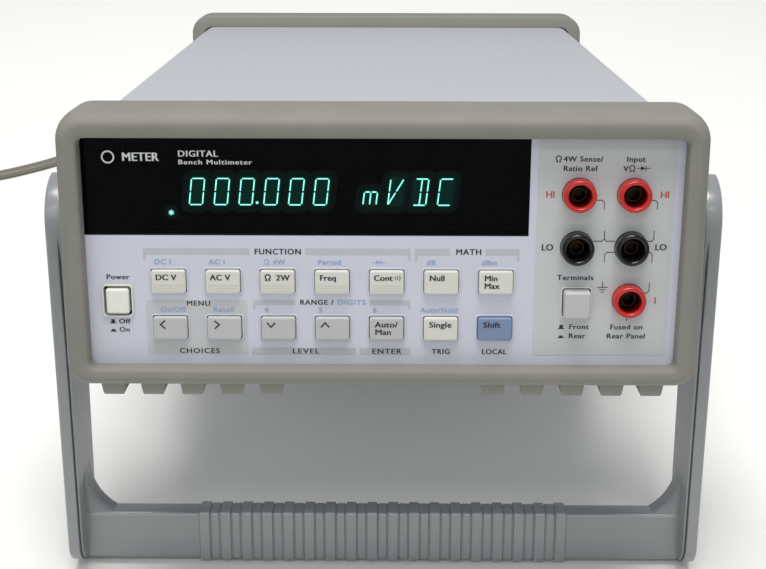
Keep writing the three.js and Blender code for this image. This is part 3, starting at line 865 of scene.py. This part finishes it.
def add_front_panel(paint):
    window_hole = rectangle(WINDOW["left"] - 0.02, WINDOW["right"] + 0.15,
                            WINDOW["bottom"] - 0.15, WINDOW["top"] + 0.1)
    key_holes = [key_outline(x, z, 0.22, 0.8) for _, x, z in key_places()]
    rings = [circle(x, z, SOCKET_RADIUS + 0.15) for x, z, _ in SOCKETS.values()]
    holes = [window_hole, *key_holes, well(POWER), well(TERMINALS), *rings]
    outer = outline(PANEL["half"], PANEL["bottom"], PANEL["top"], 6.5, 6.5)
    shapes = [plate(outer, holes, 0.0, PANEL["back"])]
    for (_, x, z), hole in zip(key_places(), key_holes):
        shapes.append(plate(key_outline(x, z, 0.85, 1.3), [hole], -0.4, 0.1, 0.15))
    piece("front_panel_moulding", shapes, [paint["panel"]], replaces=("front_panel",))
    rims = [plate(well(box, box["rim"]), [well(box)], -0.8, 0.05, 0.18) for box in (POWER, TERMINALS)]
    piece("switch_rims", rims, [paint["key"]])
    field = outline(23.8, 6.6, 85.2, 1.6, 1.6, 77.6, 4)
    piece("terminal_field", [plate(field, [well(TERMINALS, 0.3), *rings], -0.1, 0.02)], [paint["field"]])


INK_Y = -0.07
FIELD_INK_Y = INK_Y - 0.1
KEY_INK_Y = -KEY_OUT - 0.02


def omega(x, z, height, y, width):
    """An ohm sign drawn as one line."""
    radius = height * 0.42
    points = [(x - radius, z - height / 2), (x - radius * 0.45, z - height / 2)]
    for i in range(15):
        angle = math.radians(240 - 300 * i / 14)
        points.append((x + radius * math.cos(angle), z + height * 0.08 + radius * math.sin(angle)))
    points += [(x + radius * 0.45, z - height / 2), (x + radius, z - height / 2)]
    return ribbon(points, width, y)


def diode(x, z, y, size=1.0):
    """An arrow head with a bar, on a line."""
    head = [(x - size, z + size * 0.8), (x - size, z - size * 0.8), (x + size * 0.6, z)]
    shapes = [plate(head, [], y - 0.03, y + 0.03)]
    shapes.append(ribbon([(x - size * 2.4, z), (x + size * 2.4, z)], 0.22, y))
    shapes.append(ribbon([(x + size * 0.7, z - size * 0.9), (x + size * 0.7, z + size * 0.9)], 0.25, y))
    return shapes


def bar(x0, x1, z0, z1, y=-0.05):
    return plate(rectangle(x0, x1, z0, z1), [], y, 0.02)


# (words, x, z, the capitals' height, alignment, widening, letter spacing)
PANEL_WORDS = [
    ("FUNCTION", -36.8, 44.7, 2.0, "CENTER", 1.0, 1.15),
    ("MATH", 30.4, 44.8, 2.0, "CENTER", 1.03, 1.15),
    ("RANGE /", -29.3, 26.1, 1.8, "LEFT", 1.05, 1.15),
    ("MENU", -65.4, 25.6, 1.8, "CENTER", 1.08, 1.15),
    ("CHOICES", -65.6, 7.75, 1.85, "CENTER", 1.12, 1.2),
    ("LEVEL", -27.4, 7.75, 1.85, "CENTER", 1.2, 1.2),
    ("ENTER", 1.6, 7.75, 1.85, "CENTER", 1.15, 1.2),
    ("TRIG", 21.1, 7.75, 1.85, "CENTER", 1.0, 1.15),
    ("LOCAL", 40.2, 7.75, 1.85, "CENTER", 0.98, 1.1),
    ("Power", -93.65, 35.3, 1.75, "CENTER", 1.12, 1.1),
    ("Off", -94.1, 18.8, 1.7, "LEFT", 1.12, 1.1),
    ("On", -94.1, 15.7, 1.7, "LEFT", 1.12, 1.1),
]
FIELD_WORDS = [
    ("Terminals", 68.2, 35.6, 1.85, "CENTER", 1.08, 1.1),
    ("Front", 66.6, 17.3, 1.8, "LEFT", 1.1, 1.1),
    ("Rear", 66.6, 13.9, 1.8, "LEFT", 1.1, 1.1),
    ("LO", 57.9, 46.6, 2.2, "CENTER", 1.0, 1.0),
    ("LO", 97.7, 46.8, 2.2, "CENTER", 1.0, 1.0),
    ("4W Sense/", 62.4, 78.1, 1.85, "LEFT", 1.05, 1.1),
    ("Ratio Ref", SOCKET_X + 0.1, 74.8, 1.85, "CENTER", 1.05, 1.1),
    ("Input", SOCKET_X + SOCKET_PITCH + 0.1, 78.1, 1.85, "CENTER", 1.05, 1.1),
    ("V", 84.0, 74.8, 1.85, "CENTER", 1.05, 1.0),
    ("Fused on", 87.1, 17.3, 1.8, "CENTER", 1.1, 1.1),
    ("Rear Panel", 87.1, 13.9, 1.8, "CENTER", 1.1, 1.1),
]
# (words, the key's place in its row, how far in from that key's left edge, z)
BLUE_WORDS = [
    ("DC I", 0, 1.1, 40.9), ("AC I", 1, 1.1, 40.9), ("4W", 2, 4.4, 40.9), ("Period", 3, 1.05, 40.9),
    ("dB", 5, 0.9, 40.9), ("dBm", 6, 1.0, 40.9), ("On/Off", 0, 2.6, 23.3), ("Recall", 1, 2.2, 23.3),
    ("4", 2, 1.1, 23.3), ("5", 3, 1.1, 23.3), ("6", 4, 1.1, 23.3), ("Auto/Hold", 5, -1.2, 23.3),
]


def lettering(table, y):
    shapes = []
    for words, x, z, height, align, wide, spacing in table:
        shapes.append(text(words, x, z, height, y, align, wide=wide, spacing=spacing))
    return shapes


def add_panel_print(paint):
    """The grey bars, the black, blue and red legends and the thin lines between the sockets."""
    grey = []
    for x0, x1, tick in ((-84.3, -46.8, -84.3), (-27.1, 9.9, 9.0), (11.5, 23.7, 11.5), (36.3, 48.2, 47.3)):
        grey += [bar(x0, x1, 43.5, 45.9), bar(tick, tick + 0.9, 41.4, 43.6)]
    for x0, x1, tick in ((-46, -31, -46), (-4.6, 10, 9.1)):
        grey += [bar(x0, x1, 25.0, 26.9), bar(tick, tick + 0.9, 23.4, 25.1)]
    grey += [bar(-46.9, -9.5, 6.3, 9), bar(-8, 10.1, 6.3, 9)]
    piece("grey_bars", grey, [paint["print_grey"]])
    menu = outline(18.1, 6.3, 26.8, 1.2, 1.2, -66.1, 4)
    key_holes = [key_outline(x, z, 0.86, 1.3) for _, x, z in key_places() if z == LOWER_ROW][:2]
    piece("menu_field", [plate(menu, key_holes, -0.04, 0.02)], [paint["menu_field"]])
    black = lettering(PANEL_WORDS, INK_Y) + lettering(FIELD_WORDS, FIELD_INK_Y)
    black += [omega(60.7, 78.1, 2.1, FIELD_INK_Y, 0.36), omega(86.2, 74.8, 2.1, FIELD_INK_Y, 0.36)]
    black += diode(90.2, 74.9, FIELD_INK_Y)
    black += switch_signs(-96.2, 18.8, INK_Y) + switch_signs(63.9, 17.3, FIELD_INK_Y, 3.4)
    black += socket_lines()
    piece("black_legends", black, [paint["ink"]])
    blue = []
    for words, i, inset, z in BLUE_WORDS:
        left = FIRST_KEY + KEY_PITCH * i - KEY_HALF + inset
        blue.append(text(words, left, z, 1.75, INK_Y, "LEFT", wide=1.08, spacing=1.12))
    blue.append(text("DIGITS", -15.95, 26.1, 1.8, INK_Y, "LEFT", wide=1.12, spacing=1.15))
    blue.append(omega(FIRST_KEY + KEY_PITCH * 2 - KEY_HALF + 2.2, 40.9, 1.8, INK_Y, 0.3))
    blue += diode(FIRST_KEY + KEY_PITCH * 4 - 2.7, 40.9, INK_Y, 0.95)
    piece("blue_legends", blue, [paint["ink_blue"]])
    red = [text(words, x, z, 2.3, FIELD_INK_Y)
           for words, x, z in (("HI", 58.3, 65.6), ("HI", 98.0, 65.6), ("I", 96.8, 27.2))]
    piece("red_legends", red, [paint["ink_red"]])


def switch_signs(x, z, y, drop=3.1):
    """The button-out and button-in signs beside the two push switches."""
    shapes = []
    for low, rise in ((z, 0.7), (z - drop, 0.1)):
        shapes.append(bar(x - 1.1, x + 1.1, low - 0.85, low - 0.55, y))
        shapes.append(bar(x - 0.65, x + 0.65, low - 0.6, low + rise, y))
    return shapes


def socket_lines():
    """The thin rounded lines that pair the sockets, and the earth sign."""
    left, right = SOCKET_X, SOCKET_X + SOCKET_PITCH
    middle = (left + right) / 2
    earth = middle + 0.2
    lines = []
    for x in (left + 6.0, right + 5.4):
        lines.append([(x, 63.6), (x + 2.2, 63.6), (x + 3.0, 62.8), (x + 3.0, 60.2)])
    for side in SIDES:
        near, far = middle + side * 0.8, middle + side * 3.8
        lines.append([(middle, 52.7), (middle, 49.7), (near, 48.9), (far, 48.9)])
    lines += [
        [(right + 7.8, 52.7), (right + 7.8, 49.6), (right + 7.0, 48.9), (right + 5.4, 48.9)],
        [(middle + 3.8, 44.9), (middle + 1.2, 44.9), (middle + 0.4, 44.1), (middle + 0.4, 41.3)],
        [(right + 5.4, 44.9), (right + 6.8, 44.9), (right + 7.6, 44.1), (right + 7.6, 40.9)],
        [(right + 7.2, 33.8), (right + 7.2, 30.8), (right + 6.4, 30.0), (right + 5.2, 29.9)],
        [(earth, 34.2), (earth, 32.0)],
        [(right - 0.2, 21.9), (right - 0.2, 19.6)],
    ]
    for i, half in enumerate((1.9, 1.2, 0.5)):
        lines.append([(earth - half, 32.0 - 0.9 * i), (earth + half, 32.0 - 0.9 * i)])
    return [ribbon(line, 0.26, FIELD_INK_Y) for line in lines]


# How far in from the key's left edge its words start, and the words from the upper line down
KEY_LEGENDS = {
    "dc_volts": (1.6, "DC V"), "ac_volts": (1.6, "AC V"), "ohms": (5.6, "2W"), "freq": (1.7, "Freq"),
    "cont": (1.5, "Cont"), "null": (1.8, "Null"), "min_max": (1.9, "Min", "Max"),
    "auto_man": (1.9, "Auto/", "Man"), "single": (1.9, "Single"), "shift": (1.8, "Shift"),
}
LEGEND_LINES = (1.75, -1.05)
ARROWS = {"left": (-1, 0), "right": (1, 0), "down": (0, -1), "up": (0, 1)}


def arrow(x, z, dx, dz):
    """A chevron that points along (dx, dz)."""
    wide, deep = 1.5, 0.85
    ends = [(x - dx * deep + dz * wide * side, z - dz * deep + dx * wide * side) for side in SIDES]
    return ribbon([ends[0], (x + dx * deep, z + dz * deep), ends[1]], 0.5, KEY_INK_Y - 0.03)


def key_cap(x, z, half, high, out, back, edge):
    """A cap whose front edge is rounded and whose face dips a little."""
    profile = ((0.0, back), (0.0, -out + edge), (edge * 0.1, -out + edge * 0.55),
               (edge * 0.35, -out + edge * 0.2), (edge * 0.75, -out + 0.02), (edge * 1.1, -out),
               (edge * 2.2, -out + 0.03))
    rings = []
    for inset, y in profile:
        radius = max(0.3, 0.9 - inset * 0.5)
        rings.append(at_y(outline(half - inset, z - high + inset, z + high - inset, radius, None, x, 4), y))
    return loft(rings)


def key_marks(name, x, z):
    """The lettering and signs on one key's face."""
    left = x - KEY_HALF
    wide = 1.05 if z == UPPER_ROW else 1.14
    marks = []
    if name in KEY_LEGENDS:
        inset, *lines = KEY_LEGENDS[name]
        for words, rise in zip(lines, LEGEND_LINES):
            marks.append(text(words, left + inset, z + rise, 2.0, KEY_INK_Y, "LEFT", 0.055, wide, 1.04))
    if name == "ohms":
        marks.append(omega(left + 2.7, z + 1.8, 2.1, KEY_INK_Y - 0.03, 0.44))
    if name == "cont":
        for i in range(3):
            arc = [(left + 8.8 + 0.8 * i + 0.4 * math.cos(a), z + 1.7 + (0.5 + 0.25 * i) * math.sin(a))
                   for a in (-1.2, -0.6, 0, 0.6, 1.2)]
            marks.append(ribbon(arc, 0.26, KEY_INK_Y - 0.03))
    if name in ARROWS:
        marks.append(arrow(left + 3.5, z + 1.5, *ARROWS[name]))
    return marks


def add_keys(paint):
    face = -KEY_OUT
    for name, x, z in key_places():
        shapes = [
            key_cap(x, z, KEY_HALF, KEY_HIGH, KEY_OUT, 3.6, 0.55),
            block(x - 7.3, x + 7.3, 3.55, 4.95, z - 5.5, z + 5.5),
            block(x - 2, x + 2, 4.9, 5.95, z - 2, z + 2),
        ]
        # Three ribs raised a little from the face; their darker colour is painted shade of the grooves
        # between them.
        if name in UPPER_KEYS[:5]:
            for line in (z - 1.0, z - 2.0, z - 3.0):
                groove_shade_block = block(x - 5.3, x + 5.3, face - 0.05, face + 0.1, line - 0.16, line + 0.16)
                shapes.append(numbered(groove_shade_block, 2))
        shapes += [numbered(mark, 1) for mark in key_marks(name, x, z)]
        tone = "key_blue" if name == "shift" else "key_grey" if name in LOWER_KEYS[:5] else "key"
        node = "key_" + name
        materials = [paint[tone], paint["ink"], paint["groove_shade"]]
        piece(node + "_cap", shapes, materials, node, (node,))


def add_push_buttons(paint):
    for box, name in ((POWER, "power_button"), (TERMINALS, "terminals_button")):
        cap = key_cap(box["x"], box["z"], box["half"], box["high"], box["out"], 8.0, 0.9)
        # The power button takes the paler, painted-lit copy of the key cream.
        tone = "key_grey" if box is TERMINALS else "key_cream_painted_lit"
        piece(name + "_cap", [cap], [paint[tone]], name, (name,))


def socket_shapes(x, z, face, inward):
    """A shrouded socket: its shell, its contact sleeve, and a lining down its throat in a darker colour that
    is painted shade for the inside.
    """
    r = SOCKET_RADIUS
    shell = [(r, 20), (r, 4), (r, 0.9), (r - 0.15, 0.4), (r - 0.5, 0.08), (r - 0.85, 0), (4.5, 0.1),
             (4.15, 0.45), (4.0, 1.0), (3.95, 2.0), (3.95, 9.9), (3.0, 9.9), (3.0, 20)]
    sleeve = [(2.9, 9.8), (2.6, 9.8), (2.6, 5.0), (2.45, 4.7), (2.15, 4.7), (2.0, 5.0), (2.0, 18), (0.01, 18),
              (0.01, 19.5), (2.9, 19.5)]
    # The lining takes the darker copy of the socket colour: painted shade, not a darker wall.
    shade_lining = [(3.94, 1.6), (3.94, 9.8), (3.84, 9.8), (3.84, 1.8)]
    parts = []
    for number, profile in enumerate((shell, sleeve, shade_lining)):
        line = [(radius, face + inward * depth) for radius, depth in profile]
        parts.append(numbered(turned(line, x, z, 40, joined=number != 1), number))
    return parts


def add_sockets(paint):
    for name, (x, z, tone) in SOCKETS.items():
        for end, face, inward in (("front", -5.0, 1), ("rear", 353.0, -1)):
            node = f"{end}_socket_{name}"
            # The second material is the darkened brass and the third the painted shade of the socket's
            # inside.
            materials = [paint[tone], paint["shaded_brass"], paint[tone + "_painted_shade"]]
            piece(node + "_shell", socket_shapes(x, z, face, inward), materials,
                  replaces=(node,))


# --- display ---

CELL_WIDTH, CELL_HIGH, SLANT = 4.6, 9.4, 0.12
FIRST_CELL, CELL_PITCH, CELL_BASE = -68.1, 8.74, 60.3
# Strokes through the corners and middles of a cell, from (0, 0) at its lower left to (1, 1)
GLYPHS = {
    "0": [((0, 0), (1, 0), (1, 0.5), (1, 1), (0, 1), (0, 0.5), (0, 0))],
    "m": [((0, 0), (0, 0.5), (0.5, 0.5), (1, 0.5), (1, 0)), ((0.5, 0.5), (0.5, 0))],
    "V": [((0, 1), (0, 0.5), (0, 0), (0.5, 0.5), (1, 1))],
    "D": [((0, 0), (1, 0), (1, 0.5), (1, 1), (0, 1)), ((0.5, 0), (0.5, 0.5), (0.5, 1))],
    "C": [((1, 0), (0, 0), (0, 0.5), (0, 1), (1, 1))],
}
READING = [*((cell, "0") for cell in range(6)), (7, "m"), (8, "V"), (9, "D"), (10, "C")]


def glyph_lines():
    """Every lit segment of the reading as a pair of points (x, z), a little apart from its neighbours."""
    lines = []
    for cell, letter in READING:
        x0 = FIRST_CELL + CELL_PITCH * cell
        for stroke in GLYPHS[letter]:
            points = [Vector((x0 + u * CELL_WIDTH + v * CELL_HIGH * SLANT, CELL_BASE + v * CELL_HIGH))
                      for u, v in stroke]
            for start, end in zip(points, points[1:]):
                gap = (end - start).normalized() * 0.32
                lines.append([tuple(start + gap), tuple(end - gap)])
    return lines


def glyph_rim(cell, high, reach):
    """A slanted rounded box round a glyph's cell."""
    middle = FIRST_CELL + CELL_PITCH * cell + CELL_WIDTH / 2
    points = outline(CELL_WIDTH / 2 + reach, CELL_BASE - reach, CELL_BASE + high + reach, 0.3 + reach, None,
                     middle, 5)
    return [(x + (z - CELL_BASE) * SLANT, z) for x, z in points]


def add_display(paint):
    """The lit glyphs, each in a rim of painted glow that fades in steps, the tube behind and the pane in
    front.
    """
    point = (FIRST_CELL + CELL_PITCH * 3 - 2.3, CELL_BASE + 0.75)
    star = (-74.6, 57.4)
    arms = [(math.cos(a), math.sin(a)) for a in (math.pi / 2, math.pi / 6, -math.pi / 6)]
    lines = glyph_lines()
    shapes = [ribbon(line, 0.38, 5.8, 0.03) for line in lines]
    for u, v in arms:
        shapes.append(ribbon([(star[0] + u, star[1] + v), (star[0] - u, star[1] - v)], 0.28, 5.8, 0.03))
    shapes.append(plate(circle(*point, 0.46, 12), [], 5.8, 5.83))
    # The halo and the stepped rims are glowing plates, not lamps: painted glow spreading round the lit
    # segments.
    halo = [ribbon(line, 0.95, 5.86, 0.03) for line in lines]
    halo.append(plate(circle(*point, 0.75, 12), [], 5.86, 5.89))
    shapes += [numbered(shape, 1) for shape in halo]
    for step, reach in enumerate(GLOW_SPILL_REACH):
        y = 5.91 + 0.045 * step
        for cell, letter in READING:
            high = CELL_HIGH / 2 if letter == "m" else CELL_HIGH
            shapes.append(numbered(plate(glyph_rim(cell, high, reach), [], y, y + 0.03), 2 + step))
        shapes.append(numbered(plate(circle(*star, 1.0 + 0.6 * reach, 20), [], y, y + 0.03), 2 + step))
    piece("lit_glyphs", shapes, [paint["glow"], paint["halo"], *paint["glow_spill"]])
    # The tube and the film round it take the same near-black: a real black film, and also painted shade for
    # the inside behind the window.
    tube = prism(outline(68, 54, 82, 1.5, None, -24, 4), 6.4, 12.4)
    piece("display_tube_body", [tube], [paint["film_and_shade"]], replaces=("display_tube",))
    left, right, bottom, top = (WINDOW[k] for k in ("left", "right", "bottom", "top"))
    whole = rectangle(left, right, bottom, top)
    surround = plate(whole, [rectangle(-93, 45, 53, 83)], 6.15, 6.3)
    walls = plate(whole, [rectangle(left + 0.8, right - 0.8, bottom + 0.8, top - 0.8)], 3.1, 6.15)
    piece("display_film_and_shade", [surround, walls], [paint["film_and_shade"]])
    pane = prism(outline((right - left) / 2, bottom, top, 0.4, None, (left + right) / 2, 2), 0.2, 2.2)
    piece("display_pane", [pane], [paint["window"]], replaces=("display_window",))
    title = [
        text("DIGITAL", -70.7, 79.55, 2.1, 0.13, "LEFT", wide=1.1, spacing=1.12),
        text("Bench Multimeter", -70.7, 76.6, 1.6, 0.13, "LEFT", wide=1.3, spacing=1.15),
        text("METER", -90.1, 78.4, 2.9, 0.13, "LEFT", wide=0.97, spacing=1.05, bold=0.05),
        plate(circle(-94.9, 78.3, 2.3), [circle(-94.9, 78.3, 1.75)], 0.1, 0.15),
    ]
    piece("window_title", title, [paint["ink_white"]])


def paint_inside(paint):
    """The CAD parts that stay: a material each for the hidden metal, boards and black plastic."""
    tones = dict.fromkeys(("chassis_tray", "screening_can", "serial_connector", "rear_panel"), "sheet")
    tones.update(dict.fromkeys(("cover_screw", "ground_screw", "trigger_jack", "complete_jack"), "nickel"))
    for name, node in frame["nodes"].items():
        if node.hide_render:
            continue
        material = paint[tones.get(name, "dark")]
        node.data.materials.clear()
        node.data.materials.append(material)


def main():
    paint = make_materials()
    add_camera()
    add_stage()
    add_lead(paint)
    add_bumpers(paint)
    add_cover(paint)
    add_handle(paint)
    add_front_panel(paint)
    add_panel_print(paint)
    add_keys(paint)
    add_push_buttons(paint)
    add_sockets(paint)
    add_display(paint)
    paint_inside(paint)


main()
